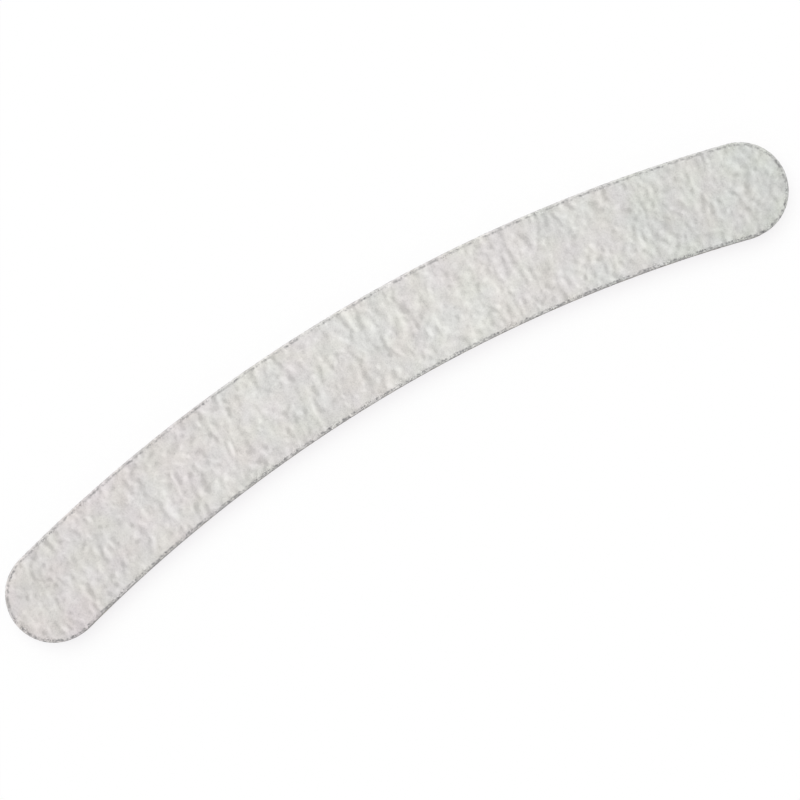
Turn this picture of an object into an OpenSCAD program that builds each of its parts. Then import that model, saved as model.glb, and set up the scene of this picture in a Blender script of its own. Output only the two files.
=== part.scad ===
// Curved salon nail file: a crescent-shaped cushioned emery board.
// A plastic core carries a foam cushion on each face, and each cushion carries abrasive paper.
// The strip lies flat with its fine face down. X runs along the chord, Y across it and Z up.

/* [Outline] */
// Overall length, tip to tip
board_l = 178; // [120:1:230]
// Width of the strip, edge to edge
board_w = 19.4; // [14:0.1:26]
// Radius of the bend, at the strip's centreline
bend_r = 313; // [180:1:900]

/* [Core] */
// Thickness of the stiff plastic core sheet
core_t = 0.8; // [0.4:0.05:1.6]

/* [Cushions] */
// Thickness of each foam cushion
foam_t = 1; // [0.7:0.05:2]
// How deep the foam's cut edge draws back after the die has passed
foam_dish = 0.12; // [0.04:0.01:0.2]
// Height of the upright strip that is left above and below that hollow
dish_land = 0.08; // [0.04:0.01:0.12]

/* [Tapes] */
// Thickness of the tape between the core and a cushion
core_tape_t = 0.12; // [0.06:0.01:0.25]
// Thickness of the tape between a cushion and its paper
paper_tape_t = 0.12; // [0.06:0.01:0.25]

/* [Abrasive papers] */
// Thickness of each backing paper
paper_t = 0.22; // [0.12:0.01:0.4]
// Thickness of the coarse grain in its resin, on the upper face
coarse_grain_t = 0.14; // [0.08:0.01:0.25]
// Thickness of the fine grain in its resin, on the lower face
fine_grain_t = 0.07; // [0.04:0.01:0.15]
// Thickness of the pale dressing over the coarse grain
coarse_dressing_t = 0.04; // [0.02:0.01:0.1]
// Thickness of the pale dressing over the fine grain
fine_dressing_t = 0.03; // [0.02:0.01:0.1]
// Width of the rim along the cut where the dressing has flaked and the dark grain shows
bare_rim = 0.2; // [0.05:0.05:0.5]

/* [Pressed edge] */
// Radius to which the die bends the foam's face down along the cut
press_r = 1.1; // [0.9:0.05:1.8]
// Slope of the foam's face where it meets the cut
press_tilt = 45; // [35:1:50]

/* [Hidden] */
$fn = 96;

// The outline is every point within half a width of an arc, so its ends are half circles.
half_w = board_w / 2;
half_sweep = asin((board_l / 2 - half_w) / bend_r);
// The crescent's box is centred on the origin, and the centre of the bend lies below it.
bend_centre_y = -bend_r * (1 + cos(half_sweep)) / 2;

// Heights of the layers' faces above the middle of the core. Both halves of the stack share them.
core_face = core_t / 2;
core_tape_face = core_face + core_tape_t;
foam_face = core_tape_face + foam_t;
paper_tape_face = foam_face + paper_tape_t;
paper_face = paper_tape_face + paper_t;
coarse_grain_face = paper_face + coarse_grain_t;
coarse_face = coarse_grain_face + coarse_dressing_t;
fine_grain_face = paper_face + fine_grain_t;
fine_face = fine_grain_face + fine_dressing_t;
stack_h = fine_face + coarse_face;

// The pressed band is the strip along the cut where the faces bend down round one common centre.
// Its radius is held back where a thin foam would otherwise be pressed through to the tape.
foam_r = min(press_r, 0.55 * foam_t / (1 - cos(press_tilt)));
press_w = foam_r * sin(press_tilt);
press_centre = foam_face - foam_r;
// Height of the foam that is left standing at the cut.
cut_foam_h = foam_t - foam_r * (1 - cos(press_tilt));

// Sweeps a half profile all round the crescent: along the bend and round both ends.
// The profile's X runs from the centreline out to the cut, and its Y is the height.
module round_the_crescent() {
    half_crescent() children();
    mirror([1, 0]) half_crescent() children();
}

// The half with X above 0. It is drawn about the centre of its round end, where the bend starts
// square to the profile, and runs a little past the middle of the strip, where it is trimmed.
module half_crescent() {
    difference() {
        translate([0, bend_centre_y])
            rotate(-half_sweep)
                translate([0, bend_r]) {
                    rotate_extrude(start = -90, angle = 180)
                        children();
                    translate([0, -bend_r])
                        rotate_extrude(start = 90, angle = 1.05 * half_sweep, $fn = 4 * $fn)
                            translate([bend_r, 0]) {
                                children();
                                mirror([1, 0]) children();
                            }
                }
        translate([-board_w, bend_centre_y + bend_r - board_w, -stack_h])
            cube([board_w, 2 * board_w, 2 * stack_h]);
    }
}

// Half profile of a flat sheet between two heights.
module flat_sheet(low, high) {
    translate([0, low]) square([half_w, high - low]);
}

// Half profile of a sheet that bends down with the pressed band, between two faces of the stack.
// It ends short of the cut by the width of its rim.
module pressed_sheet(low, high, rim = 0) {
    translate([0, low]) square([half_w - press_w, high - low]);
    translate([half_w - press_w, press_centre])
        intersection() {
            difference() {
                circle(r = high - press_centre);
                circle(r = low - press_centre);
            }
            square([press_w - rim, high - press_centre]);
        }
}

// Half profile of a cushion: flat below, bent down at the cut, and hollowed along its cut edge.
module cushion() {
    hollow_h = cut_foam_h - 2 * dish_land;
    hollow_d = min(foam_dish, hollow_h / 3);
    hollow_r = (pow(hollow_h / 2, 2) + pow(hollow_d, 2)) / (2 * hollow_d);
    difference() {
        union() {
            translate([0, core_tape_face]) square([half_w - press_w, foam_t]);
            translate([half_w - press_w, 0])
                intersection() {
                    union() {
                        translate([0, press_centre]) circle(r = foam_r);
                        if (press_centre > core_tape_face)
                            translate([0, core_tape_face])
                                square([press_w, press_centre - core_tape_face]);
                    }
                    translate([0, core_tape_face]) square([press_w, foam_t]);
                }
        }
        translate([half_w - hollow_d + hollow_r, core_tape_face + cut_foam_h / 2])
            circle(r = hollow_r);
    }
}

// The two halves of the stack: the upper one as drawn, and the lower one turned face down.
module upper_half() {
    translate([0, 0, fine_face]) children();
}

module lower_half() {
    translate([0, 0, fine_face]) mirror([0, 0, 1]) children();
}

module coarse_dressing() {
    color("#D9D7D4")
        upper_half() round_the_crescent()
            pressed_sheet(coarse_grain_face, coarse_face, bare_rim);
}

module coarse_grain_layer() {
    color("#5A5754")
        upper_half() round_the_crescent()
            pressed_sheet(paper_face, coarse_grain_face);
}

module coarse_backing_paper() {
    color("#8F8D8C")
        upper_half() round_the_crescent()
            pressed_sheet(paper_tape_face, paper_face);
}

module coarse_paper_tape() {
    color("#D8CFB4")
        upper_half() round_the_crescent()
            pressed_sheet(foam_face, paper_tape_face);
}

module upper_foam_cushion() {
    color("#B9B8BC")
        upper_half() round_the_crescent() cushion();
}

module upper_core_tape() {
    color("#D8CFB4")
        upper_half() round_the_crescent()
            flat_sheet(core_face, core_tape_face);
}

module plastic_core() {
    color("#4A494D")
        upper_half() round_the_crescent()
            flat_sheet(-core_face, core_face);
}

module lower_core_tape() {
    color("#D8CFB4")
        lower_half() round_the_crescent()
            flat_sheet(core_face, core_tape_face);
}

module lower_foam_cushion() {
    color("#B9B8BC")
        lower_half() round_the_crescent() cushion();
}

module fine_paper_tape() {
    color("#D8CFB4")
        lower_half() round_the_crescent()
            pressed_sheet(foam_face, paper_tape_face);
}

module fine_backing_paper() {
    color("#8F8D8C")
        lower_half() round_the_crescent()
            pressed_sheet(paper_tape_face, paper_face);
}

module fine_grain_layer() {
    color("#5A5754")
        lower_half() round_the_crescent()
            pressed_sheet(paper_face, fine_grain_face);
}

module fine_dressing() {
    color("#D9D7D4")
        lower_half() round_the_crescent()
            pressed_sheet(fine_grain_face, fine_face, bare_rim);
}

coarse_dressing();
coarse_grain_layer();
coarse_backing_paper();
coarse_paper_tape();
upper_foam_cushion();
upper_core_tape();
plastic_core();
lower_core_tape();
lower_foam_cushion();
fine_paper_tape();
fine_backing_paper();
fine_grain_layer();
fine_dressing();
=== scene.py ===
import bpy
import numpy as np
from mathutils import Matrix, Vector


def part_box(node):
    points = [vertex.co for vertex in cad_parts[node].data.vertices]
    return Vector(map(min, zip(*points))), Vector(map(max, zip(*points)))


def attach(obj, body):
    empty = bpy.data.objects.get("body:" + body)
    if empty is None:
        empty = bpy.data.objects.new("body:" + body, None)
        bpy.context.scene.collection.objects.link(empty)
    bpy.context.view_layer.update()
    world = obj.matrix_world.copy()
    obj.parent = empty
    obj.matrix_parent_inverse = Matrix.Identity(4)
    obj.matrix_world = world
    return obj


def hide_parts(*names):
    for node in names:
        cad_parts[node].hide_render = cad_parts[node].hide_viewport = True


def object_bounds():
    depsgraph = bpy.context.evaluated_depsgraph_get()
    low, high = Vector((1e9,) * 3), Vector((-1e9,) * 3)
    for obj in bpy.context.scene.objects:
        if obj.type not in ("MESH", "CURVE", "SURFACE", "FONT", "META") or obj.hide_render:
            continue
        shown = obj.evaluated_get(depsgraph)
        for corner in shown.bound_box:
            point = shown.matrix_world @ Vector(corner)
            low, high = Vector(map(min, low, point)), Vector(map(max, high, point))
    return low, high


# A curved, cushioned emery board, lying on its fine face. Every length below is in
# millimetres until a mesh is made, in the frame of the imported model: X along the chord,
# Y towards the outer side of the bend, Z up.

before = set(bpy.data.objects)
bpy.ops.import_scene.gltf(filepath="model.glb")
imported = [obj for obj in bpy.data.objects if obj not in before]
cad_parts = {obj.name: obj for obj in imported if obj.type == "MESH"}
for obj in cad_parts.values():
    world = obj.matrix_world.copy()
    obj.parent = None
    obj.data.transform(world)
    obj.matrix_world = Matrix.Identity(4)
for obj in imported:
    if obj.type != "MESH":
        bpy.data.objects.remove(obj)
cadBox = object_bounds()
mm = 0.001
print("frame: loaded", len(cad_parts), "nodes")

board = {
    "length": 178.0,     # tip to tip
    "width": 19.4,       # of the strip, edge to edge
    "bendRadius": 313.0,  # at the centreline
    "pressRadius": 1.1,  # to which the die bends the foam's face down along the cut
    "pressTilt": 45.0,   # slope of the foam's face at the cut, degrees
}
halfWidth = board["width"] / 2
bendRadius = board["bendRadius"]
tipReach = max(cadBox[1].x, -cadBox[0].x) / mm
halfSweep = np.arcsin((tipReach - halfWidth) / bendRadius)
bendCentre = np.array([0.0, -bendRadius * (1 + np.cos(halfSweep)) / 2])
arcLengths = [2 * halfSweep * (bendRadius + halfWidth), np.pi * halfWidth,
              2 * halfSweep * (bendRadius - halfWidth), np.pi * halfWidth]
arcStarts = np.cumsum([0.0] + arcLengths)[:4]
girth = sum(arcLengths)  # once round the cut
pressWidth = board["pressRadius"] * np.sin(np.radians(board["pressTilt"]))

stacks = {  # from the core outwards, for the upper and the lower side
    1: ("plastic_core", "upper_core_tape", "upper_foam_cushion", "coarse_paper_tape",
        "coarse_backing_paper", "coarse_grain_layer", "coarse_dressing"),
    -1: ("plastic_core", "lower_core_tape", "lower_foam_cushion", "fine_paper_tape",
         "fine_backing_paper", "fine_grain_layer", "fine_dressing"),
}


def layerFaces(node, side):
    # Heights of a layer's inner and outer face, away from its pressed edge. The outer one is
    # the end of its packed box, and the inner one is the outer face of the layer beneath.
    def outer(name):
        low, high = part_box(name)
        return (high.z if side > 0 else low.z) / mm

    place = stacks[side].index(node)
    if place == 0:
        low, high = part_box(node)
        return (low.z if side > 0 else high.z) / mm, outer(node)
    return outer(stacks[side][place - 1]), outer(node)


foamFaces = {side: layerFaces(stacks[side][2], side)[1] for side in (1, -1)}


def walkOutline(run):
    # A point at run millimetres round the cut hangs on the centreline: base + normal * reach.
    # Outer arc from right to left, left round end, inner arc back, right round end.
    run = np.mod(np.asarray(run, float), girth)
    share = [np.clip((run - s) / length, 0, 1) for s, length in zip(arcStarts, arcLengths)]
    part = np.searchsorted(arcStarts, run, side="right") - 1
    theta = np.choose(part, [halfSweep - 2 * halfSweep * share[0],
                             np.full_like(run, -halfSweep),
                             -halfSweep + 2 * halfSweep * share[2],
                             np.full_like(run, halfSweep)])
    turn = np.choose(part, [0 * run, np.pi * share[1], 0 * run + np.pi,
                            np.pi + np.pi * share[3]])
    radial = np.stack([np.sin(theta), np.cos(theta)], -1)
    leftward = np.stack([-np.cos(theta), np.sin(theta)], -1)
    base = bendCentre + bendRadius * radial
    normal = radial * np.cos(turn)[..., None] + leftward * np.sin(turn)[..., None]
    return base, normal


def cutDistance(x, y):
    # Half a width less the distance to the centreline, which is an arc with two end points.
    dx, dy = x - bendCentre[0], y - bendCentre[1]
    theta = np.clip(np.arctan2(dx, dy), -halfSweep, halfSweep)
    return halfWidth - np.hypot(dx - bendRadius * np.sin(theta), dy - bendRadius * np.cos(theta))


def innerShare(run):
    # 1 on the inner side of the bend, 0 on the outer side, and turning round the ends.
    return (1 - (walkOutline(run)[1] * [0, 1]).sum(-1)) / 2


def stationsRound(gap):
    # Stations about gap millimetres apart round the cut, as many on the inner arc as on the
    # outer, so that each pair of them hangs on the same point of the centreline.
    along = int(round(arcLengths[0] / gap))
    across = int(round(arcLengths[1] / gap))
    run = np.concatenate([s + length * np.arange(n) / n for s, length, n in
                          zip(arcStarts, arcLengths, (along, across, along, across))])
    spine = np.concatenate([along - np.arange(along), np.zeros(across, int),
                            np.arange(along), np.full(across, along)])
    base, normal = walkOutline(run)
    return {"run": run, "base": base, "normal": normal, "spine": spine}


def bentHeight(face, inset, side):
    # A face that is flat inside the pressed band and bent down round one common centre in it:
    # z = centre + side * sqrt(r^2 - (pressWidth - inset)^2).
    centre = foamFaces[side] - side * board["pressRadius"]
    radius = side * (face - centre)
    into = np.clip(pressWidth - inset, 0, pressWidth)
    return centre + side * np.sqrt(radius ** 2 - into ** 2)


def meshPiece(name, verts, quads, tris, sharp=None):
    # Points in millimetres and the numbers of each face's corners become an object. Its faces
    # are smooth, apart from edges above sharp degrees, or all flat where sharp isn't given.
    mesh = bpy.data.meshes.new(name)
    mesh.vertices.add(len(verts))
    mesh.vertices.foreach_set("co", (np.asarray(verts) * mm).ravel())
    corners = np.concatenate([quads.ravel(), tris.ravel()])
    sizes = np.repeat([4, 3], [len(quads), len(tris)])
    mesh.loops.add(len(corners))
    mesh.loops.foreach_set("vertex_index", corners)
    mesh.polygons.add(len(sizes))
    mesh.polygons.foreach_set("loop_start", np.cumsum(sizes) - sizes)
    mesh.update(calc_edges=True)
    mesh.polygons.foreach_set("use_smooth", np.full(len(sizes), sharp is not None))
    if sharp is not None:
        mesh.set_sharp_from_angle(angle=np.radians(sharp))
    piece = bpy.data.objects.new(name, mesh)
    bpy.context.scene.collection.objects.link(piece)
    return piece


noQuads = np.empty((0, 4), int)
noTris = np.empty((0, 3), int)


def carriedSurface(name, stations, rows, sharp):
    # A profile carried round the outline. Each row is (inset from the cut, height), from the
    # middle of the upper face outwards, down the cut and back to the middle of the lower face.
    # The first and last rows lie on the centreline, where the strip's two sides share points.
    count = len(stations["run"])
    spine = stations["spine"]
    insets = np.array([np.broadcast_to(np.asarray(row[0], float), (count,)) for row in rows])
    heights = np.array([np.broadcast_to(np.asarray(row[1], float), (count,)) for row in rows])
    points = np.empty(insets.shape + (3,))
    points[..., :2] = stations["base"] + stations["normal"] * (halfWidth - insets)[..., None]
    points[..., 2] = heights
    firstOf = np.unique(spine, return_index=True)[1]
    spineCount, ringCount = len(firstOf), len(rows) - 2
    ids = np.empty(insets.shape, int)
    ids[0] = spine
    ids[1:-1] = spineCount + np.arange(ringCount * count).reshape(ringCount, count)
    ids[-1] = spineCount + ringCount * count + spine
    verts = np.concatenate([points[0, firstOf], points[1:-1].reshape(-1, 3),
                            points[-1, firstOf]])
    a, b = ids[:-1], ids[1:]
    quads = np.stack([a, b, np.roll(b, -1, 1), np.roll(a, -1, 1)], -1).reshape(-1, 4)
    shutAbove, shutBelow = quads[:, 0] == quads[:, 3], quads[:, 1] == quads[:, 2]
    tris = np.concatenate([quads[shutAbove][:, [0, 1, 2]], quads[shutBelow][:, [0, 1, 3]]])
    return meshPiece(name, verts, quads[~(shutAbove | shutBelow)], tris, sharp)


def pointsOf(piece):
    # The piece's points in millimetres, one row each.
    co = np.empty(len(piece.data.vertices) * 3, np.float32)
    piece.data.vertices.foreach_get("co", co)
    return co.reshape(-1, 3).astype(float) / mm


def writeAttribute(piece, name, values):
    # One number per point, which a material reads by its name.
    layer = piece.data.attributes.new(name, "FLOAT", "POINT")
    layer.data.foreach_set("value", np.asarray(values, np.float32))


def dress(piece, material, slot, *nodes):
    # Gives a piece its finish and its body, and hides the imported layers that it stands for.
    piece.data.materials.append(material)
    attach(piece, "root")
    if nodes:
        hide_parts(*nodes)


wrinkles = {
    "step": 0.125,       # spacing of the grid that the pattern is drawn on
    "reach": (200, 48),  # length and width of the grid
    # Each kind of wrinkle: half its length, its width, how many on a square millimetre, how
    # strong, and the share of them that are grooves and not ridges.
    "long": (4.2, 0.40, 0.065, 0.54, 0.60),
    "middling": (1.4, 0.42, 0.27, 0.88, 0.58),
    "short": (0.52, 0.40, 0.85, 0.82, 0.52),
    "leans": (-12, -4, 3, 9),  # degrees from Y
    "evenness": 3,       # the higher it is, the more alike are the strokes of a kind
    "ridge": 0.8,        # strength of a ridge against a groove's
    "lip": 0.45,         # height of the lips beside a groove
    "lipWidth": 2.0,     # and how much wider they are
    "mottle": 0.5,       # even lumps between the wrinkles
    "mottleSize": (0.3, 0.36),
    "quiet": 0.60,       # how far weak wrinkles sink into the plain
    "deepest": 2.75,     # where grooves stop growing, in deviations
    "highest": 2.5,      # and where ridges do
    "slow": 0.40,        # slow swells
    "slowSize": (0.9, 1.5),
    "fine": 0.20,        # fine roughness
    "fineSize": (0.13, 0.15),
    "seed": 41,
}
gridStep = wrinkles["step"]
gridShape = tuple(int(size / gridStep) for size in wrinkles["reach"])


def softNoise(rng, wide, tall):
    # White noise blurred over wide by tall millimetres, with unit deviation.
    fx = np.fft.fftfreq(gridShape[0], gridStep)[:, None]
    fy = np.fft.rfftfreq(gridShape[1], gridStep)[None, :]
    blur = np.exp(-2 * np.pi ** 2 * ((wide * fx) ** 2 + (tall * fy) ** 2))
    field = np.fft.irfft2(np.fft.rfft2(rng.standard_normal(gridShape)) * blur, s=gridShape)
    return field / field.std()


def wrinkleField(look):
    # Strokes scattered at random, each a blurred line with lips of the other sign beside it:
    # exp(-(u / w)^2 / 2) - lip * exp(-(u / (lipWidth * w))^2 / 2), faded along its length by
    # exp(-|v / l|^3), with u across and v along the stroke. Their sum sinks to a plain where it
    # is weak, |t| -> sqrt(t^2 + quiet^2) - quiet, and levels off by a tanh where it is strong.
    rng = np.random.default_rng(look["seed"])
    x = (np.arange(gridShape[0]) - gridShape[0] / 2)[:, None] * gridStep
    y = (np.arange(gridShape[1]) - gridShape[1] / 2)[None, :] * gridStep
    total = look["mottle"] * softNoise(rng, *look["mottleSize"])
    for kind in ("long", "middling", "short"):
        length, width, density, strength, grooves = look[kind]
        strokes = np.zeros(gridShape)
        for lean in np.radians(look["leans"]):
            u, v = x * np.cos(lean) + y * np.sin(lean), y * np.cos(lean) - x * np.sin(lean)
            line = np.exp(-(u / width) ** 2 / 2)
            lips = look["lip"] * np.exp(-(u / width / look["lipWidth"]) ** 2 / 2)
            stroke = (line - lips) * np.exp(-np.abs(v / length) ** 3)
            marks = rng.poisson(density * gridStep ** 2 / len(look["leans"]), gridShape)
            marks = marks * rng.standard_gamma(look["evenness"], gridShape)
            marks *= np.where(rng.random(gridShape) < grooves, -1.0, look["ridge"])
            spread = np.fft.rfft2(marks) * np.fft.rfft2(np.fft.ifftshift(stroke))
            strokes += np.fft.irfft2(spread, s=gridShape)
        total += strength * strokes / strokes.std()
    total /= total.std()
    quiet = look["quiet"]
    total = np.sign(total) * (np.sqrt(total ** 2 + quiet ** 2) - quiet)
    reach = np.where(total < 0, look["deepest"], look["highest"])
    total = reach * np.tanh(total / total.std() / reach)
    total = (total / total.std() + look["slow"] * softNoise(rng, *look["slowSize"])
             + look["fine"] * softNoise(rng, *look["fineSize"]))
    return (total - total.mean()) / total.std()


def sampleField(field, x, y):
    # Bilinear value of a field at points of the board, with the grid centred on the origin.
    nx, ny = field.shape
    u, v = x / gridStep + nx / 2, y / gridStep + ny / 2
    i, j = np.floor(u).astype(int) % nx, np.floor(v).astype(int) % ny
    fu, fv = u - np.floor(u), v - np.floor(v)
    ii, jj = (i + 1) % nx, (j + 1) % ny
    return ((field[i, j] * (1 - fu) + field[ii, j] * fu) * (1 - fv)
            + (field[i, jj] * (1 - fu) + field[ii, jj] * fu) * fv)


def runNoise(count, blur, rng):
    # Noise round the whole cut with no seam, blurred over blur millimetres, unit deviation.
    f = np.fft.rfftfreq(count, girth / count)
    soft = np.exp(-2 * (np.pi * f * blur) ** 2)
    values = np.fft.irfft(np.fft.rfft(rng.standard_normal(count)) * soft, n=count)
    return (values - values.mean()) / values.std()


def cellDistance(run, height, size, rng):
    # Distance to the nearest of a scatter of points, in cells of the given size, closed round
    # the cut. It is 0 in the middle of a cell and grows towards the wall between two cells.
    around, up = int(round(girth / size)), 64  # cells round the cut, and more than fill it
    jitter = rng.random((around, up, 2))
    u, v = run / girth * around, height / size + up / 2
    nearest = np.full(np.broadcast(u, v).shape, np.inf)
    for du in (-1, 0, 1):
        for dv in (-1, 0, 1):
            i, j = np.floor(u).astype(int) + du, np.floor(v).astype(int) + dv
            spot = jitter[i % around, j % up]
            nearest = np.minimum(nearest, np.hypot(i + spot[..., 0] - u, j + spot[..., 1] - v))
    return nearest


strays = {
    "wander": 0.28,      # how far a wrinkle strays sideways
    "wanderSize": (1.4, 1.8),
    "kink": 0.08,        # and by how much it kinks on the way
    "kinkSize": (0.55, 0.6),
    "lumpSize": (0.23, 0.23),  # of the dressing that the die crushed
    "splinterSize": (0.12, 0.12),  # of what has broken off
    "seed": 5,
}
fieldRng = np.random.default_rng(strays["seed"])
wander = (strays["wander"] * softNoise(fieldRng, *strays["wanderSize"])
          + strays["kink"] * softNoise(fieldRng, *strays["kinkSize"]))
crumble = softNoise(fieldRng, *strays["lumpSize"])
splinter = softNoise(fieldRng, *strays["splinterSize"])
pattern = wrinkleField(wrinkles)
print("patterns: worked out")


def newMaterial(name):
    material = bpy.data.materials.new(name)
    material.use_nodes = True
    tree = material.node_tree
    return material, tree, next(n for n in tree.nodes if n.type == "BSDF_PRINCIPLED")


def addNode(tree, kind, inputs=None, **settings):
    node = tree.nodes.new("ShaderNode" + kind)
    for key, value in settings.items():
        setattr(node, key, value)
    for key, value in (inputs or {}).items():
        node.inputs[key].default_value = value
    return node


def objectPlace(tree, size, stretch=(1, 1, 1)):
    # The piece's own coordinates, in units of size millimetres.
    scale = addNode(tree, "Mapping", {"Scale": tuple(s / (size * mm) for s in stretch)})
    tree.links.new(addNode(tree, "TexCoord").outputs["Object"], scale.inputs["Vector"])
    return scale.outputs["Vector"]


def objectNoise(tree, size, detail=2.0, stretch=(1, 1, 1)):
    noise = addNode(tree, "TexNoise", {"Scale": 1.0, "Detail": detail})
    tree.links.new(objectPlace(tree, size, stretch), noise.inputs["Vector"])
    return noise.outputs["Fac"]


def objectCells(tree, size, stretch=(1, 1, 1)):
    # Distance from the middle of the nearest of many irregular cells.
    cells = addNode(tree, "TexVoronoi", {"Scale": 1.0})
    tree.links.new(objectPlace(tree, size, stretch), cells.inputs["Vector"])
    return cells.outputs["Distance"]


def attribute(tree, name):
    return addNode(tree, "Attribute", attribute_name=name).outputs["Fac"]


def ramp(tree, source, *stops):
    # Colours or grey values at stops between 0 and 1.
    node = addNode(tree, "ValToRGB")
    marks = node.color_ramp.elements
    while len(marks) < len(stops):
        marks.new(0.5)
    for mark, (place, colour) in zip(marks, stops):
        mark.position = place
        mark.color = (*((colour,) * 3 if np.isscalar(colour) else colour), 1)
    tree.links.new(source, node.inputs["Fac"])
    return node.outputs["Color"]


def swing(tree, noise, low, high, edge=0.3):
    # Noise keeps near its middle, so the two tones are reached at edge and 1 - edge.
    return ramp(tree, noise, (edge, low), (1 - edge, high))


def mixColour(tree, share, a, b, blend="MIX"):
    # Inputs 0, 6 and 7 of the node are its factor and its two colours.
    node = addNode(tree, "Mix", data_type="RGBA", blend_type=blend)
    for key, value in ((0, share), (6, a), (7, b)):
        if isinstance(value, bpy.types.NodeSocket):
            tree.links.new(value, node.inputs[key])
        else:
            node.inputs[key].default_value = value if key == 0 else (*value, 1)
    return node.outputs[2]


def combine(tree, operation, a, b):
    node = addNode(tree, "Math", operation=operation)
    for key, value in ((0, a), (1, b)):
        if isinstance(value, bpy.types.NodeSocket):
            tree.links.new(value, node.inputs[key])
        else:
            node.inputs[key].default_value = value
    return node.outputs[0]


def addBump(tree, shader, source, depth, under=None):
    # Relief finer than the mesh, depth in millimetres.
    node = addNode(tree, "Bump", {"Distance": depth * mm, "Strength": 0.8})
    tree.links.new(source, node.inputs["Height"])
    if under is not None:
        tree.links.new(under, node.inputs["Normal"])
    tree.links.new(node.outputs["Normal"], shader.inputs["Normal"])
    return node.outputs["Normal"]


coatLook = {
    "thin": (0.548, 0.538, 0.521),  # where the dressing lies thin over the grain, and painted shade in the wrinkles' grooves
    "mean": (0.727, 0.714, 0.693),
    "thick": (0.880, 0.867, 0.844),  # on the crests, with painted light on them
    # Slow drift of tone: a place from tip to tip, from 0 to 1, and the tint there.
    "drift": ((0.0, (0.960, 0.930, 0.948)), (0.42, (1.010, 1.006, 1.008)),
              (0.62, (1.010, 1.006, 1.008)), (1.0, (0.920, 0.942, 0.938))),
    # Soft marks: size in millimetres, and the two tones that each swings between.
    "marks": ((7.0, (1.0, 0.982, 0.995), (0.982, 1.0, 0.992)),
              (5.0, (1.0, 1.0, 0.972), (0.992, 0.992, 1.0)),
              (14.0, (0.982, 0.982, 0.982), (1.012, 1.012, 1.012)),
              (0.5, (0.975, 0.975, 0.975), (1.02, 1.02, 1.02))),
    "grainMarks": (0.975, 1.02),  # the same two tones for marks as small as a grain
    "pebble": 0.42,      # how much painted shade darkens it between the grains
    "pebbleSpan": (0.15, 0.90),  # between these shares of a grain's reach
    "pebbleMean": 0.46,  # how much of that darkening a point has on average
    "powder": 0.40,      # loose dust of the dressing
    "powderSize": 0.05,
    "creaseShading": 0.36,      # painted light and shade of small creases between the wrinkles
    "creaseSize": 0.55,
    "creaseStretch": (1, 0.35, 1),
    "crushed": (0.27, 0.265, 0.268),  # broken dressing along the cut
    "crushedSize": 0.14,
    "crushedSpan": (0.12, 0.62),  # wear at which it begins to show and hides the rest
    "grain": (0.15, 0.146, 0.146),  # grain that shows through in specks
    "speckSize": 0.42,
    "speckSpan": (0.80, 0.86),
    "speckShare": 0.9,
    "speckWear": 0.3,    # how much more likely they are where the dressing is worn
    "rough": ((0.1, 0.78), (0.8, 0.95)),  # on a grain and between grains
    "gloss": 0.25,
    "creaseDepth": 0.22,
    "pebbleDepth": 0.045,
    "grainDepth": 0.014,
}


def coatMaterial(name, look, gritSize):
    # Painted shade darkens the hollows between the grains, so they show as pale pebbles. Noise is
    # 0.5 on average, so half of what it adds is taken off again, and the wear's noise is doubled.
    material, tree, shader = newMaterial(name)
    pebbles = objectCells(tree, gritSize)
    between, beyond = look["pebbleSpan"]
    # Painted shade: darker away from the middle of each grain.
    dips = ramp(tree, pebbles, (between, look["pebble"]), (beyond, 0.0))
    dust = combine(tree, "MULTIPLY", objectNoise(tree, look["powderSize"]), look["powder"])
    # The creases are bumped below and also painted into the colour as their light and shade.
    creases = objectNoise(tree, look["creaseSize"], 4.0, look["creaseStretch"])
    fine = combine(tree, "ADD", combine(tree, "MULTIPLY", creases, look["creaseShading"]),
                   combine(tree, "ADD", dips, dust))
    level = look["pebbleMean"] * look["pebble"] + 0.5 * (look["powder"] + look["creaseShading"])
    # The tone read here is partly the dressing's thickness and partly painted light and shade of
    # the wrinkles.
    swell = combine(tree, "ADD", attribute(tree, "coatToneAndShade"),
                    combine(tree, "SUBTRACT", fine, level))
    colour = ramp(tree, swell, (0.0, look["thin"]), (0.5, look["mean"]), (1.0, look["thick"]))
    place = addNode(tree, "SeparateXYZ")
    tree.links.new(objectPlace(tree, board["length"]), place.inputs[0])
    along = combine(tree, "ADD", place.outputs["X"], 0.5)
    colour = mixColour(tree, 1.0, colour, ramp(tree, along, *look["drift"]), "MULTIPLY")
    for size, low, high in (*look["marks"], (gritSize, *look["grainMarks"])):
        mottle = swing(tree, objectNoise(tree, size, 1.0), low, high, edge=0.35)
        colour = mixColour(tree, 1.0, colour, mottle, "MULTIPLY")
    broken = combine(tree, "MULTIPLY", objectNoise(tree, look["crushedSize"]), 2.0)
    wear = combine(tree, "MULTIPLY", attribute(tree, "coatWear"), broken)
    first, last = look["crushedSpan"]
    gone = ramp(tree, wear, (first, 0.0), (last, 1.0))
    colour = mixColour(tree, gone, colour, look["crushed"])
    specks = combine(tree, "ADD", objectNoise(tree, look["speckSize"]),
                     combine(tree, "MULTIPLY", wear, look["speckWear"]))
    first, last = look["speckSpan"]
    shown = ramp(tree, specks, (first, 0.0), (last, look["speckShare"]))
    colour = mixColour(tree, shown, colour, look["grain"])
    tree.links.new(colour, shader.inputs["Base Color"])
    tree.links.new(ramp(tree, pebbles, *look["rough"]), shader.inputs["Roughness"])
    shader.inputs["Specular IOR Level"].default_value = look["gloss"]
    under = addBump(tree, shader, creases, look["creaseDepth"])
    under = addBump(tree, shader, pebbles, -look["pebbleDepth"], under)
    addBump(tree, shader, objectNoise(tree, gritSize / 2), look["grainDepth"], under)
    return material


grainLook = {
    "dark": (0.18, 0.176, 0.18),
    "dust": (0.56, 0.55, 0.54),  # pale dust of the dressing, caught between the grains
    "dustSize": 2.2,     # in grains
    "dustSpan": (0.38, 0.68),
    "rough": (0.28, 0.75),
    "depth": 0.03,
}


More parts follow.
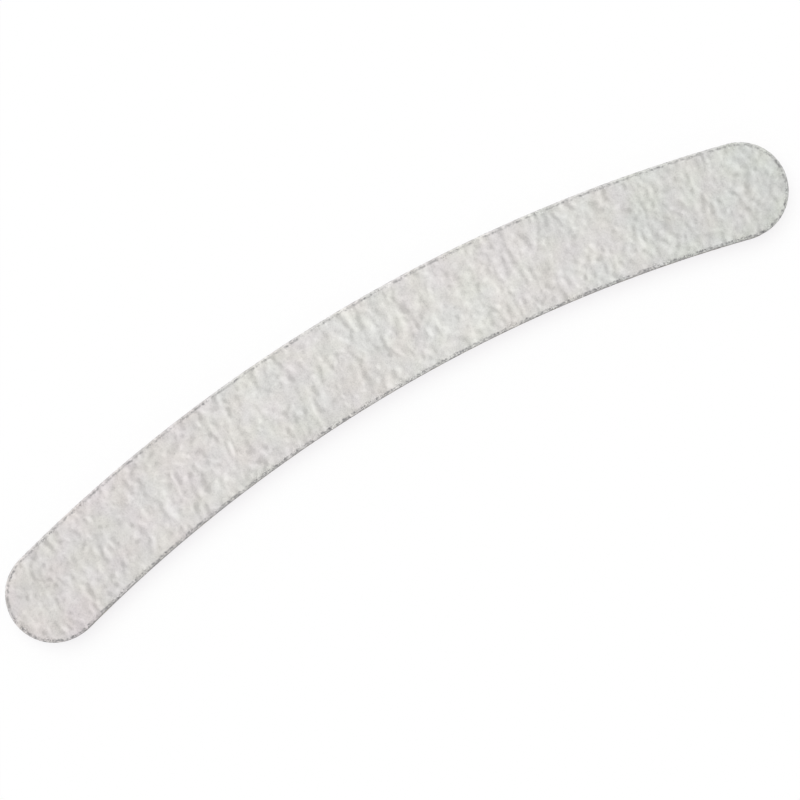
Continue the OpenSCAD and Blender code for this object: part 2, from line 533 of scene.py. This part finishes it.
def grainMaterial(name, look, size):
    # Dark grain of the given size with patches of dust.
    material, tree, shader = newMaterial(name)
    dust = objectNoise(tree, size * look["dustSize"], 3.0)
    first, last = look["dustSpan"]
    tree.links.new(ramp(tree, dust, (first, look["dark"]), (last, look["dust"])),
                   shader.inputs["Base Color"])
    tree.links.new(swing(tree, objectNoise(tree, size, 1.0), *look["rough"]),
                   shader.inputs["Roughness"])
    addBump(tree, shader, objectCells(tree, size), -look["depth"])
    return material


def sheetMaterial(name, look):
    # Cut edge of a sheet: two tones in streaks that lie along the sheet.
    material, tree, shader = newMaterial(name)
    tone = objectNoise(tree, look["size"], 4.0, look["stretch"])
    tree.links.new(swing(tree, tone, look["low"], look["high"]), shader.inputs["Base Color"])
    tree.links.new(swing(tree, tone, *look["rough"]), shader.inputs["Roughness"])
    shader.inputs["Specular IOR Level"].default_value = look["gloss"]
    addBump(tree, shader, objectNoise(tree, look["size"] / 2, 3.0, look["stretch"]),
            look["relief"])
    return material


paperLook = {"low": (0.40, 0.395, 0.385), "high": (0.60, 0.59, 0.575), "size": 0.4,
             "stretch": (1, 1, 8), "rough": (0.8, 0.95), "gloss": 0.3, "relief": 0.02}
tapeLook = {"low": (0.55, 0.50, 0.38), "high": (0.70, 0.66, 0.54), "size": 0.7,
            "stretch": (1, 1, 3), "rough": (0.25, 0.5), "gloss": 0.5, "relief": 0.01}
coreLook = {"low": (0.045, 0.045, 0.05), "high": (0.085, 0.085, 0.09), "size": 0.5,
            "stretch": (6, 6, 1), "rough": (0.35, 0.6), "gloss": 0.5, "relief": 0.015}
foamLook = {
    "wall": (0.78, 0.775, 0.785),
    # The pit tone is painted shade in the hollows of the open cells.
    "pit": (0.50, 0.495, 0.51),
    "cell": 0.07,        # size of the cells that are too fine for the mesh
    "cellSpan": (0.15, 0.6),
    "soil": (0.9, 1.05),  # dulled and clean patches
    "soilSize": 2.5,
    "deep": 0.68,        # painted shade at the bottom of a modelled cell
    "rough": 0.9,
    "gloss": 0.25,
    "depth": 0.025,
}


def foamMaterial(name, look):
    # Closed-cell foam: pale walls round open cells darkened by painted shade, finer ones between
    # the modelled.
    material, tree, shader = newMaterial(name)
    cells = objectCells(tree, look["cell"])
    first, last = look["cellSpan"]
    # Painted shade in the fine cells, darkest in their middles.
    colour = ramp(tree, cells, (first, look["pit"]), (last, look["wall"]))
    soil = swing(tree, objectNoise(tree, look["soilSize"], 3.0), *look["soil"])
    colour = mixColour(tree, 1.0, colour, soil, "MULTIPLY")
    # Painted shade, darker towards the bottom of each modelled cell.
    depth = ramp(tree, attribute(tree, "cellDepth"), (0.0, 1.0), (1.0, look["deep"]))
    colour = mixColour(tree, 1.0, colour, depth, "MULTIPLY")
    tree.links.new(colour, shader.inputs["Base Color"])
    shader.inputs["Roughness"].default_value = look["rough"]
    shader.inputs["Specular IOR Level"].default_value = look["gloss"]
    addBump(tree, shader, cells, look["depth"])
    return material


coarseCoat = {
    "gap": 0.2,          # between stations round the cut
    # Rows of the outer face: their places near the rim, and from where and how many to the
    # centreline. Rows of the face below it, from the rim and from the pressed band.
    "rimRows": (0, 0.05, 0.11, 0.18, 0.26, 0.34, 0.42, 0.51, 0.61, 0.72, 0.85, 1.0, 1.16),
    "flatFrom": 1.35,
    "flatRows": 30,
    "underRows": (0, 0.25, 0.5),
    "underFlat": 0.6,
    "sharp": 60,         # edges above this many degrees stay sharp
    "base": 0.062,       # mean thickness over the grain
    "swing": 0.026,      # deviation of the thickness
    "limits": (0.008, 0.15),
    "tones": 6,          # deviations between the tones for thin and thick
    "edge": 0.35,        # share of the thickness that is left at the torn edge
    "edgeWidth": 0.18,   # how fast the rest comes back
    "rim": 0.06,         # mean width of bare grain along the cut
    "rimSwing": 0.08,    # deviation of that width
    "rimWavers": ((0.75, 0.20), (0.5, 0.07)),  # its share and length, coarse and fine
    "rimSides": (0.5, 0.6),  # its share on the outer side, and what the inner side adds
    "rimLimits": (0.012, 0.65),
    "rimPoints": 6000,
    # The dressing cracks along a line inside the cut, where the die bent it. On the outer and
    # on the inner side of the bend: the line's inset, its width towards the middle and towards
    # the cut, how much of the dressing has gone and how unevenly.
    "crackInset": (0.50, 0.42),
    "crackWidth": (0.35, 0.29),
    "crackToCut": (0.30, 0.36),
    "crackShare": (0.33, 0.38),
    "crackSwing": (0.14, 0.21),
    "crackDepth": 0.75,  # share of the thickness that goes with it
    "crush": 0.8,        # lumps of the crushed band, in deviations
    "crushWidth": 0.75,
    "innerFall": 0.5,    # how much thinner it lies on the inner side, in deviations
    "shift": 0.0,        # of the wrinkle pattern along X
    "grit": 0.16,        # size of the grains under it
    "seed": 7,
}
fineCoat = dict(coarseCoat, base=0.018, swing=0.006, limits=(0.004, 0.029), rim=0.08,
                rimSwing=0.07, shift=61.0, grit=0.10, seed=19)


def inwardShare(x, y):
    # -1 at the cut on the outer side of the bend, 0 on the centreline and 1 on the inner side.
    middle = bendCentre[1] + bendRadius * np.cos(x / bendRadius)
    return np.clip((middle - y) / halfWidth, -1, 1)


def coatSwell(x, y, look):
    # How far the dressing stands from its mean, in deviations: the wrinkles, lumps where the
    # die crushed it, and a slow fall towards the inner side.
    sx = x + look["shift"]
    crushed = np.exp(-(np.maximum(cutDistance(x, y), 0) / look["crushWidth"]) ** 2)
    return (sampleField(pattern, sx + sampleField(wander, sx, y), y)
            + look["crush"] * crushed * sampleField(crumble, sx, y)
            - look["innerFall"] * np.maximum(inwardShare(x, y), 0) ** 3)


def coatLift(x, y, look):
    # Thickness of the dressing over the grain.
    return np.clip(look["base"] + look["swing"] * coatSwell(x, y, look), *look["limits"])


def crackWear(x, y, look):
    # Share of the dressing that has gone: a ragged line exp(-((inset - c) / w)^2) round the cut.
    inner = (1 + inwardShare(x, y)) / 2
    centre, width, toCut, share, uneven = (np.interp(inner, (0, 1), look["crack" + part])
                                           for part in ("Inset", "Width", "ToCut", "Share",
                                                        "Swing"))
    away = cutDistance(x, y) - centre
    band = np.exp(-(away / np.where(away > 0, width, toCut)) ** 2)
    return np.clip(band * (share + uneven * sampleField(splinter, x, y)), 0, 1)


def rimInset(look):
    # Width of bare grain at many points round the cut: wider on the inner side of the bend.
    count = look["rimPoints"]
    run = np.arange(count) * girth / count
    rng = np.random.default_rng(look["seed"])
    ragged = sum(share * runNoise(count, length, rng) for share, length in look["rimWavers"])
    outer, more = look["rimSides"]
    width = (outer + more * innerShare(run)) * (look["rim"] + look["rimSwing"] * ragged)
    return run, np.clip(width, *look["rimLimits"])


def makeCoat(name, node, grainNode, side, look, material):
    stations = stationsRound(look["gap"])
    rim = np.interp(stations["run"], *rimInset(look), period=girth)
    grainFace = layerFaces(grainNode, side)[1]
    steps = [*look["rimRows"], *np.linspace(look["flatFrom"], halfWidth, look["flatRows"])]
    outside, inside = [], []
    for step in steps[::-1]:
        inset = rim + step * (halfWidth - rim) / halfWidth
        point = stations["base"] + stations["normal"] * (halfWidth - inset)[:, None]
        lift = coatLift(point[:, 0], point[:, 1], look)
        lift *= 1 - look["crackDepth"] * crackWear(point[:, 0], point[:, 1], look)
        lift *= np.clip(look["edge"] + step / look["edgeWidth"], 0, 1)
        outside.append((inset, bentHeight(grainFace, inset, side) + side * lift))
    for inset in (*(rim + step for step in look["underRows"]),
                  pressWidth + look["underFlat"], halfWidth):
        inside.append((inset, bentHeight(grainFace, inset, side)))
    rows = outside + inside if side > 0 else inside[::-1] + outside[::-1]
    piece = carriedSurface(name, stations, rows, look["sharp"])
    x, y, z = pointsOf(piece).T
    # The wrinkles' tone paints their light and shade into the colour, on top of the dressing's
    # real thin and thick tones.
    tone = coatSwell(x, y, look) / look["tones"] + 0.5
    writeAttribute(piece, "coatToneAndShade", np.clip(tone, 0, 1))
    writeAttribute(piece, "coatWear", crackWear(x, y, look))
    dress(piece, material, "dressing", node)


makeCoat("coarseCoat", "coarse_dressing", "coarse_grain_layer", 1, coarseCoat,
         coatMaterial("coarseDressing", coatLook, coarseCoat["grit"]))
makeCoat("fineCoat", "fine_dressing", "fine_grain_layer", -1, fineCoat,
         coatMaterial("fineDressing", coatLook, fineCoat["grit"]))
print("coats: laid")

chip = {
    "shift": 0.38,       # of each corner round the middle, in spaces between corners
    "reach": (0.55, 1.2),  # of its corners, in sizes
    "waver": 0.3,        # of its corners up and down
    "lean": 0.35,        # of its two tips sideways
    "tip": (0.5, 1.1),   # height of its tips
    "flatBelow": 0.7,    # flatter chips than this keep to their flat sides
    "keep": 2.2,         # and by how much
}


def scatterChips(name, centres, sizes, corners, flat, rng):
    # Chips like two low pyramids set base to base. Their shared base has corners at uneven
    # angles and reaches, and each chip is flattened by flat and turned about a random axis.
    count = len(centres)
    shift = rng.uniform(-chip["shift"], chip["shift"], (count, corners))
    angle = (np.arange(corners) + shift) * 2 * np.pi / corners
    reach = rng.uniform(*chip["reach"], (count, corners))
    waver = rng.uniform(-chip["waver"], chip["waver"], (count, corners))
    shape = np.zeros((count, corners + 2, 3))
    shape[:, :corners] = np.stack([reach * np.cos(angle), reach * np.sin(angle), waver], -1)
    shape[:, corners:, :2] = rng.uniform(-chip["lean"], chip["lean"], (count, 2, 2))
    shape[:, corners:, 2] = rng.uniform(*chip["tip"], (count, 2)) * [1, -1]
    shape[:, :, 2] *= flat
    q = rng.standard_normal((count, 4))
    if flat < chip["flatBelow"]:
        q[:, 0] += chip["keep"]
    w, x, y, z = (q / np.linalg.norm(q, axis=1)[:, None]).T
    turn = np.stack([1 - 2 * (y * y + z * z), 2 * (x * y - w * z), 2 * (x * z + w * y),
                     2 * (x * y + w * z), 1 - 2 * (x * x + z * z), 2 * (y * z - w * x),
                     2 * (x * z - w * y), 2 * (y * z + w * x), 1 - 2 * (x * x + y * y)],
                    -1).reshape(count, 3, 3)
    verts = centres[:, None] + np.einsum("nij,nkj->nki", turn, shape * sizes[:, None, None])
    one = np.arange(corners)
    after = (one + 1) % corners
    sides = np.concatenate([np.column_stack([one, after, 0 * one + corners]),
                            np.column_stack([after, one, 0 * one + corners + 1])])
    faces = (sides[None] + (corners + 2) * np.arange(count)[:, None, None]).reshape(-1, 3)
    return meshPiece(name, verts.reshape(-1, 3), noQuads, faces)


def placeRound(run, inset, height):
    # Points at a distance round the cut, an inset from it and a height.
    base, normal = walkOutline(run)
    return np.column_stack([base + normal * (halfWidth - inset)[:, None], height])


coarseGrit = {
    "rimCount": 9000,    # places tried on the bare rim, and chips on the cut and on the face
    "edgeCount": 4500,
    "faceCount": 130,
    "size": (0.045, 0.085),
    "corners": 4,
    "flat": 0.85,
    "rimFrom": 0.02,     # nearest to the cut
    "rimReach": 0.6,     # how far in from there
    "rimCrowd": 1.3,     # how much they keep to the cut
    "rimUnder": 0.03,    # how far they reach under the dressing
    "rimSink": 0.01,
    "edgeReach": 0.04,
    "edgeSink": 0.02,
    "faceFrom": 0.8,     # from the cut
    "faceTo": 0.3,       # from the centreline
    "grain": 0.09,       # size of the grain in the finish
    "seed": 3,
}
fineGrit = dict(coarseGrit, rimCount=7000, edgeCount=4000, faceCount=0, size=(0.024, 0.042),
                grain=0.05, seed=13)


def makeGrit(name, grainNode, side, grit, coat, material):
    rng = np.random.default_rng(grit["seed"])
    near, far = layerFaces(grainNode, side)
    run = rng.random(grit["rimCount"]) * girth
    inset = grit["rimFrom"] + rng.random(len(run)) ** grit["rimCrowd"] * grit["rimReach"]
    keep = inset < np.interp(run, *rimInset(coat), period=girth) + grit["rimUnder"]
    run, inset = run[keep], inset[keep]
    onRim = placeRound(run, inset, bentHeight(far, inset, side) - side * grit["rimSink"])
    run = rng.random(grit["edgeCount"]) * girth
    up = rng.random(len(run))
    cut = bentHeight(near, 0, side) * (1 - up) + bentHeight(far, 0, side) * up
    inset = rng.uniform(0, grit["edgeReach"], len(run))
    onEdge = placeRound(run, inset, cut - side * grit["edgeSink"])
    run = rng.random(grit["faceCount"]) * girth
    inset = rng.uniform(grit["faceFrom"], halfWidth - grit["faceTo"], len(run))
    onFace = placeRound(run, inset, np.full(len(run), far + side * coat["base"]))
    centres = np.concatenate([onRim, onEdge, onFace])
    sizes = rng.uniform(*grit["size"], len(centres))
    piece = scatterChips(name, centres, sizes, grit["corners"], grit["flat"], rng)
    dress(piece, material, "grain")


makeGrit("coarseRimGrit", "coarse_grain_layer", 1, coarseGrit, coarseCoat,
         grainMaterial("coarseRimGrain", grainLook, coarseGrit["grain"]))
makeGrit("fineRimGrit", "fine_grain_layer", -1, fineGrit, fineCoat,
         grainMaterial("fineRimGrain", grainLook, fineGrit["grain"]))

crumbLook = dict(coatLook, mean=(0.85, 0.84, 0.82), thick=(0.96, 0.95, 0.93))
crumbs = {
    "count": 3000,
    "tries": 6,          # places tried for each of them
    "size": (0.04, 0.16),
    "sizeSwing": (0.6, 1.3),
    "corners": 7,
    "flat": 0.45,
    "from": 0.05,        # nearest to the cut
    "reach": 1.4,        # how far in from there
    "crowd": (1.6, 2.6),  # where between the two most of them lie, as a beta curve
    "cluster": (0.25, 0.5),  # share of the places taken, and its deviation
    "clusterLength": 0.9,
    "clusterPoints": 4000,
    "sides": (0.35, 0.65),  # share on the outer side, and what the inner side adds
    "rimLift": 0.02,     # height above bare grain
    "lift": 0.25,        # of the middle, in sizes
    "tone": (0.3, 1.2),
    "grit": 0.05,        # grain of the finish
    "seed": 29,
}


def makeCrumbs(name, grainNode, look, coat, material):
    # Crumbs of broken dressing in clusters along the cut, more of them on the inner side.
    rng = np.random.default_rng(look["seed"])
    run = rng.random(look["count"] * look["tries"]) * girth
    points = look["clusterPoints"]
    cluster = np.interp(run, np.arange(points) * girth / points,
                        runNoise(points, look["clusterLength"], rng), period=girth)
    taken, deviation = look["cluster"]
    outer, more = look["sides"]
    chance = np.clip(taken + deviation * cluster, 0, 1) * (outer + more * innerShare(run))
    run = run[rng.random(len(run)) < chance][:look["count"]]
    inset = look["from"] + look["reach"] * rng.beta(*look["crowd"], len(run))
    spots = placeRound(run, inset, np.zeros(len(run)))
    face = layerFaces(grainNode, 1)[1]
    lift = coatLift(spots[:, 0], spots[:, 1], coat)
    onGrain = inset < np.interp(run, *rimInset(coat), period=girth)
    lift = np.where(onGrain, look["rimLift"], lift)
    sizes = rng.uniform(*look["size"], len(run)) * rng.uniform(*look["sizeSwing"], len(run))
    spots[:, 2] = bentHeight(face, inset, 1) + lift + look["lift"] * sizes
    piece = scatterChips(name, spots, sizes, look["corners"], look["flat"], rng)
    tone = rng.uniform(*look["tone"], len(run))
    writeAttribute(piece, "coatToneAndShade", np.repeat(tone, look["corners"] + 2))
    writeAttribute(piece, "coatWear", np.zeros(len(piece.data.vertices)))
    dress(piece, material, "dressing")


makeCrumbs("coatCrumbs", "coarse_grain_layer", crumbs, coarseCoat,
           coatMaterial("crumbDressing", crumbLook, crumbs["grit"]))
print("grain: scattered")

sheets = {
    "gap": 0.15,         # between stations round the cut
    "wallRows": 6,       # down the cut edge
    # Rows of a face, in widths of the pressed band from the cut, all moved in by a little.
    "bendRows": (1.6, 1, 0.75, 0.5, 0.3, 0.14),
    "bendInset": 0.02,
    "shared": 0.7,       # how much of a cut edge's waver all its rows share
    "own": 0.5,          # and how much is each row's own
    "limits": (-0.02, 0.2),
    "sharp": 40,
    "seed": 77,
}
cutEdges = {  # mean inset from the outline, its deviation, length of a waver, and bulge
    "coarseGrain": (0.012, 0.016, 0.08, 0.0),
    "fineGrain": (0.010, 0.010, 0.06, 0.0),
    "paper": (0.020, 0.010, 0.12, 0.008),
    "tape": (0.030, 0.014, 0.9, 0.016),
    "core": (0.012, 0.006, 0.10, 0.0),
}
cushion = {
    "gap": 0.11,
    "wallRows": 14,
    "land": 0.02,        # inset of the edge above and below its hollow
    "dish": 0.12,        # depth of the hollow
    "cell": 0.2,         # size of the open cells
    "pit": 0.045,        # their depth
    "pitReach": 0.55,    # their width, in cells
    "pitFade": 12,       # how fast they end towards the tapes
    "waver": 0.012,      # of the whole edge
    "waverLength": 0.8,
    "sharp": 70,
    "seed": 88,
}


def sheetRows(near, far, side, bends, wallInset):
    # Profile of one layer: its outer face from the middle to the cut, the cut, and its inner
    # face back to the middle. Bent faces follow the pressed band.
    def face(height, inset, bent):
        return bentHeight(height, inset, side) if bent else height + 0 * inset

    first, last = wallInset[0], wallInset[-1]
    across = [np.full_like(first, halfWidth)]
    across += [pressWidth * k + sheets["bendInset"] for k in sheets["bendRows"]]
    outer = [(inset + 0 * first, face(far, inset + 0 * first, bends[1])) for inset in across]
    inner = [(inset + 0 * last, face(near, inset + 0 * last, bends[0])) for inset in across]
    share = np.linspace(0, 1, len(wallInset))
    top, bottom = face(far, first, bends[1]), face(near, last, bends[0])
    wall = [(inset, top + (bottom - top) * t) for inset, t in zip(wallInset, share)]
    rows = outer + wall + inner[::-1]
    return rows if side > 0 else rows[::-1]


def raggedWall(stations, rowCount, edge, deviation, length, rng):
    # Insets of a cut edge: one shared waver and a little of each row's own.
    count = len(stations["run"])
    shared = sheets["shared"] * runNoise(count, length, rng)
    own = [sheets["own"] * runNoise(count, length / 2, rng) for _ in range(rowCount)]
    return [np.clip(edge + deviation * (shared + row), *sheets["limits"]) for row in own]


def makeLayer(name, node, side, bent, material, slot, cut, seed):
    # A sheet between its two packed faces, both bent down along the cut or both flat.
    near, far = layerFaces(node, side)
    edge, deviation, length, bulge = cutEdges[cut]
    stations = stationsRound(sheets["gap"])
    rng = np.random.default_rng(sheets["seed"] + seed)
    wall = raggedWall(stations, sheets["wallRows"], edge, deviation, length, rng)
    swell = 1 - (2 * np.linspace(0, 1, len(wall)) - 1) ** 2
    wall = [row - bulge * s for row, s in zip(wall, swell)]
    rows = sheetRows(near, far, side, (bent, bent), wall)
    piece = carriedSurface(name, stations, rows, sheets["sharp"])
    dress(piece, material, slot, node)


def makeCushion(name, node, side, look, material, seed):
    # A foam sheet whose cut edge springs back into a hollow, pitted by its open cells.
    near, far = layerFaces(node, side)
    stations = stationsRound(look["gap"])
    rng = np.random.default_rng(look["seed"] + seed)
    top, bottom = bentHeight(far, 0, side), near
    share = np.linspace(0, 1, look["wallRows"])[:, None]
    height = top + (bottom - top) * share
    run = np.broadcast_to(stations["run"], (look["wallRows"], len(stations["run"])))
    cells = cellDistance(run, height + 0 * run, look["cell"], rng)
    depth = (np.clip(1 - (cells / look["pitReach"]) ** 2, 0, 1)
             * np.clip(look["pitFade"] * share * (1 - share), 0, 1))
    hollow = look["dish"] * (1 - (2 * share - 1) ** 2)
    waver = look["waver"] * runNoise(len(stations["run"]), look["waverLength"], rng)
    inset = look["land"] + hollow + look["pit"] * depth + waver
    rows = sheetRows(near, far, side, (False, True), list(inset))
    piece = carriedSurface(name, stations, rows, look["sharp"])
    # The points of the cut edge follow the first face's, of which the centreline is shared.
    values = np.zeros(len(piece.data.vertices))
    ring = len(stations["run"])
    before = len(np.unique(stations["spine"])) + len(sheets["bendRows"]) * ring
    pits = depth if side > 0 else depth[::-1]
    values[before:before + pits.size] = pits.ravel()
    writeAttribute(piece, "cellDepth", values)
    dress(piece, material, "foam", node)


grainSheets = {"coarse": 0.14, "fine": 0.08}  # size of the grain in their finish
coarseGrain = grainMaterial("coarseGrain", grainLook, grainSheets["coarse"])
fineGrain = grainMaterial("fineGrain", grainLook, grainSheets["fine"])
paper = sheetMaterial("backingPaper", paperLook)
tape = sheetMaterial("acrylicTape", tapeLook)
core = sheetMaterial("corePlastic", coreLook)
foam = foamMaterial("cellFoam", foamLook)

for seed, layer in enumerate((  # name, node, side, whether it bends, finish, slot, cut edge
        ("coarseGrainSheet", "coarse_grain_layer", 1, True, coarseGrain, "grain", "coarseGrain"),
        ("fineGrainSheet", "fine_grain_layer", -1, True, fineGrain, "grain", "fineGrain"),
        ("coarsePaper", "coarse_backing_paper", 1, True, paper, "backing_paper", "paper"),
        ("finePaper", "fine_backing_paper", -1, True, paper, "backing_paper", "paper"),
        ("coarsePaperTape", "coarse_paper_tape", 1, True, tape, "tape", "tape"),
        ("finePaperTape", "fine_paper_tape", -1, True, tape, "tape", "tape"),
        ("upperCoreTape", "upper_core_tape", 1, False, tape, "tape", "tape"),
        ("lowerCoreTape", "lower_core_tape", -1, False, tape, "tape", "tape"),
        ("coreSheet", "plastic_core", 1, False, core, "core_plastic", "core"))):
    makeLayer(*layer, seed)

makeCushion("upperCushion", "upper_foam_cushion", 1, cushion, foam, 1)
makeCushion("lowerCushion", "lower_foam_cushion", -1, cushion, foam, 2)
print("sheets: stacked")

studio = {
    "floorSize": 4000.0,     # from its middle to its sides
    "floorTone": 0.85,       # by which the floor lights the object
    "floorGlow": 0.79,       # share of the floor's white that no shadow reaches
    "floorTint": (0.0, 0.024, 0.004),  # by which the shadow takes more from each channel
    "keyStrength": 1.71,
    "keySpread": 64.0,       # degrees across, as a large soft box close by
    "keyHeight": 66.0,       # degrees above the floor
    "keyTurn": 9.6,          # degrees from +Y towards -X
    "keyDistance": 500.0,    # a sun lights the same from any distance
    "skyStrength": 0.505,
    "lens": 100.0,
    "sensor": 36.0,
    "cameraDistance": 443.0,  # from the aim
    "cameraTilt": 1.0,       # degrees towards the inner side of the bend
    "aim": (-0.22, -6.73, 3.6),
    "pictureTurn": -30.44,   # of the picture's right-hand side from X, degrees
}


def mixByRay(tree, lit, shown):
    # What the camera and clear reflections see, and what lights the object, kept apart.
    path = addNode(tree, "LightPath")
    seen = path.outputs["Is Camera Ray"]
    for other in ("Is Glossy Ray", "Is Transmission Ray"):
        seen = combine(tree, "MAXIMUM", seen, path.outputs[other])
    mix = addNode(tree, "MixShader")
    for key, value in enumerate((seen, lit, shown)):
        tree.links.new(value, mix.inputs[key])
    return mix.outputs[0]


def makeFloor(look):
    size = look["floorSize"]
    corners = np.array([[-size, -size, 0], [size, -size, 0], [size, size, 0], [-size, size, 0]])
    floor = meshPiece("floor", corners, np.array([[0, 1, 2, 3]]), noTris)
    material = bpy.data.materials.new("whitePaperFloor")
    material.use_nodes = True
    tree = material.node_tree
    tree.nodes.clear()
    fall = [1 - look["floorGlow"] + more for more in look["floorTint"]]
    plain = addNode(tree, "BsdfDiffuse", {"Color": (*[look["floorTone"]] * 3, 1)})
    shade = addNode(tree, "BsdfDiffuse", {"Color": (*fall, 1)})
    glow = addNode(tree, "Emission", {"Color": (*(1 - f for f in fall), 1)})
    both = addNode(tree, "AddShader")
    tree.links.new(shade.outputs[0], both.inputs[0])
    tree.links.new(glow.outputs[0], both.inputs[1])
    output = addNode(tree, "OutputMaterial")
    tree.links.new(mixByRay(tree, plain.outputs[0], both.outputs[0]), output.inputs["Surface"])
    floor.data.materials.append(material)


def makeSky(look):
    world = bpy.data.worlds.new("studioSky")
    world.use_nodes = True
    tree = world.node_tree
    tree.nodes.clear()
    lit = addNode(tree, "Background", {"Color": (1, 1, 1, 1), "Strength": look["skyStrength"]})
    shown = addNode(tree, "Background", {"Color": (1, 1, 1, 1), "Strength": 1.0})
    output = addNode(tree, "OutputWorld")
    tree.links.new(mixByRay(tree, lit.outputs[0], shown.outputs[0]), output.inputs["Surface"])
    bpy.context.scene.world = world


def makeKey(look):
    lamp = bpy.data.lights.new("softKey", "SUN")
    lamp.energy = look["keyStrength"]
    lamp.angle = np.radians(look["keySpread"])
    key = bpy.data.objects.new("softKey", lamp)
    turn, rise = np.radians(look["keyTurn"]), np.radians(look["keyHeight"])
    toward = Vector((-np.sin(turn) * np.cos(rise), np.cos(turn) * np.cos(rise), np.sin(rise)))
    key.location = toward * look["keyDistance"] * mm
    key.rotation_euler = toward.to_track_quat("Z", "Y").to_euler()
    bpy.context.scene.collection.objects.link(key)


def makeCamera(look):
    # The picture's right-hand side lies along a turned X, and the camera leans to the inner side.
    turn, tilt = np.radians(look["pictureTurn"]), np.radians(look["cameraTilt"])
    back = Vector((0, -np.sin(tilt), np.cos(tilt)))
    right = Vector((np.cos(turn), np.sin(turn), 0))
    right = (right - back * right.dot(back)).normalized()
    data = bpy.data.cameras.new("photoView")
    data.lens = look["lens"]
    data.sensor_width = look["sensor"]
    camera = bpy.data.objects.new("photoView", data)
    turned = Matrix((right, back.cross(right), back)).transposed().to_4x4()
    place = Vector(look["aim"]) * mm + back * look["cameraDistance"] * mm
    camera.matrix_world = Matrix.Translation(place) @ turned
    bpy.context.scene.collection.objects.link(camera)
    bpy.context.scene.camera = camera


makeFloor(studio)
makeSky(studio)
makeKey(studio)
makeCamera(studio)
bpy.context.scene.view_settings.view_transform = "Standard"
print("studio: lit")
